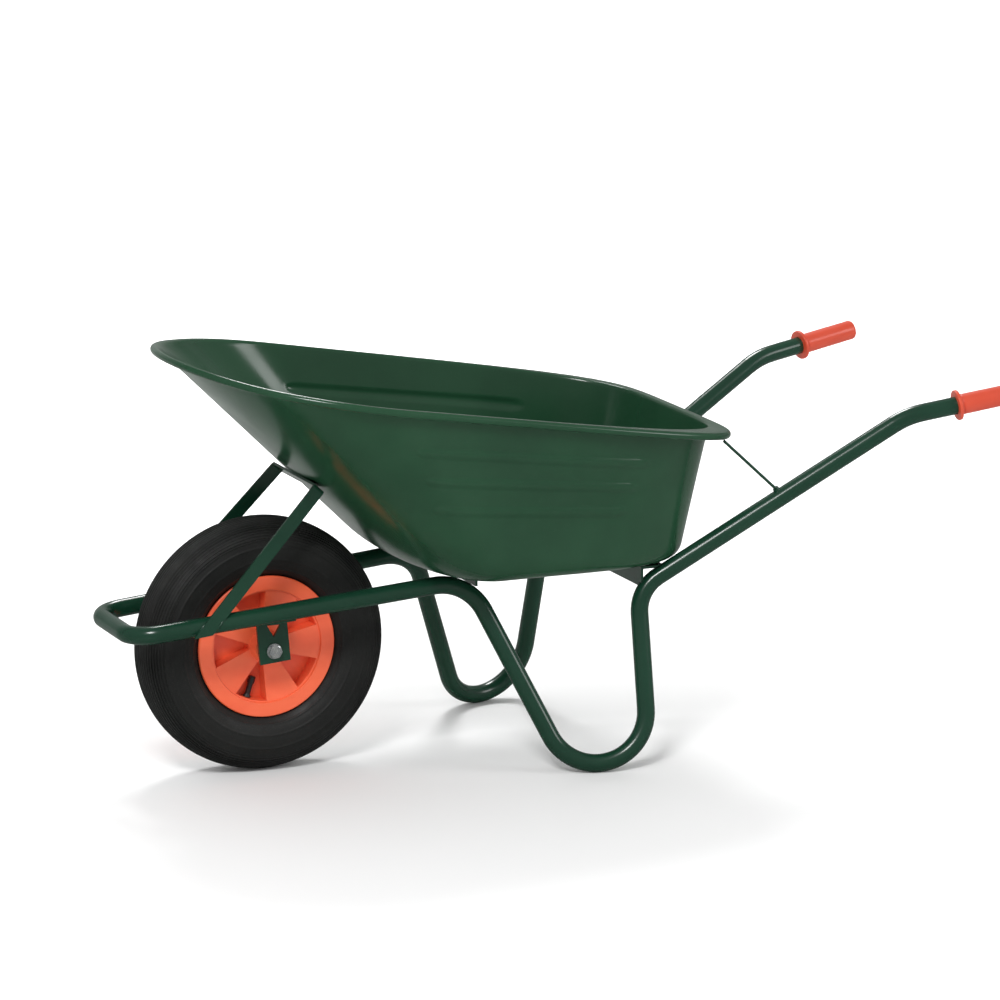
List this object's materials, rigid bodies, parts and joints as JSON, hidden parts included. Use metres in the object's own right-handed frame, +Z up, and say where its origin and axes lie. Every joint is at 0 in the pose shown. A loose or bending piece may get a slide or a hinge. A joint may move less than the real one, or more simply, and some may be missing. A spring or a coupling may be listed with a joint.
{
  "type": "wheelbarrow",
  "caption": "Garden wheelbarrow with a deep pressed tray on a bent tube frame, for moving loose loads by hand on a pneumatic wheel.",
  "frame": {"origin": "on the ground, in the middle of the whole barrow's outline", "axes": "+X towards the handles with the wheel at -X, +Y to the user's right, +Z up; left and right are the user's"},
  "size_m": [1.4236, 0.6252, 0.6633],
  "materials": {
    "frame_paint": "gloss dark green powder coat",
    "tray_paint": "gloss dark green enamel",
    "zinc": "bright zinc plate",
    "grip_plastic": "smooth orange vinyl",
    "rim_plastic": "moulded orange plastic",
    "nylon": "natural nylon",
    "tyre": "black tyre rubber",
    "black_rubber": "butyl rubber",
    "black_plastic": "moulded black plastic"
  },
  "bodies": {
    "frame": {"tray": "tray_paint", "nose_tube": "frame_paint", "frame_tube_left": "frame_paint", "frame_tube_right": "frame_paint", "front_brace": "frame_paint", "axle_bracket_left": "frame_paint", "axle_bracket_right": "frame_paint", "front_crossbar": "frame_paint", "rear_crossbar": "frame_paint", "stay_rod_left": "frame_paint", "stay_rod_right": "frame_paint", "axle_bolt": "zinc", "axle_nut": "zinc", "axle_washers": "zinc", "axle_spacer_left": "zinc", "axle_spacer_right": "zinc", "tray_bolts": "zinc", "tray_nuts": "zinc", "tray_washers": "zinc", "grip_left": "grip_plastic", "grip_right": "grip_plastic"},
    "wheel": {"wheel_rim": "rim_plastic", "hub_bush_left": "nylon", "hub_bush_right": "nylon", "tyre": "tyre", "inner_tube": "black_rubber", "valve_stem": "black_rubber", "valve_cap": "black_plastic"}
  },
  "joints": [
    {"name": "wheel_spin", "type": "hinge", "parent": "frame", "child": "wheel", "pos_m": [-0.46032, 0, 0.2], "axis": [0, 1, 0], "continuous": true}
  ]
}
